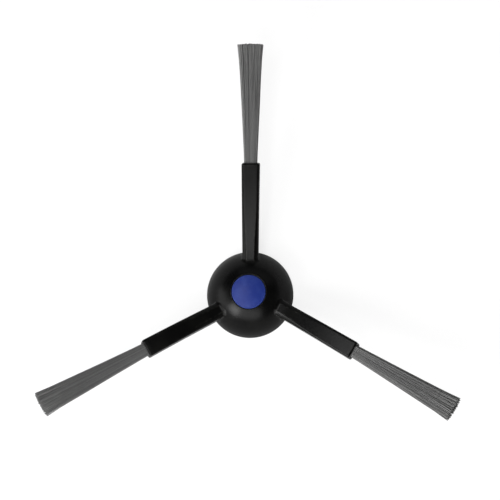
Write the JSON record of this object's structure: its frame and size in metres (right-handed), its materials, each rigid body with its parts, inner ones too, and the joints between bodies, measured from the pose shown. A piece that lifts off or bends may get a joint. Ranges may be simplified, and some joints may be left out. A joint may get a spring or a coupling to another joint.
{
  "type": "robot vacuum side brush",
  "caption": "Rotary side brush: a domed rubber hub on a blue keyed drive core, with rising rubber arms that each hold a fanned bristle tuft.",
  "frame": {"origin": "on the spin axis at the mouth of the drive socket, level with the back rim of the hub", "axes": "+Z along the spin axis towards the blue button, +Y along the first arm"},
  "size_m": [0.1428, 0.1241, 0.022],
  "materials": {
    "black_rubber": "satin",
    "blue_plastic": "satin",
    "grey_nylon": "matte"
  },
  "bodies": {
    "root": {"rubber_spider": "black_rubber", "drive_core": "blue_plastic", "bristle_tuft_1": "grey_nylon", "bristle_tuft_2": "grey_nylon", "bristle_tuft_3": "grey_nylon"}
  },
  "joints": []
}
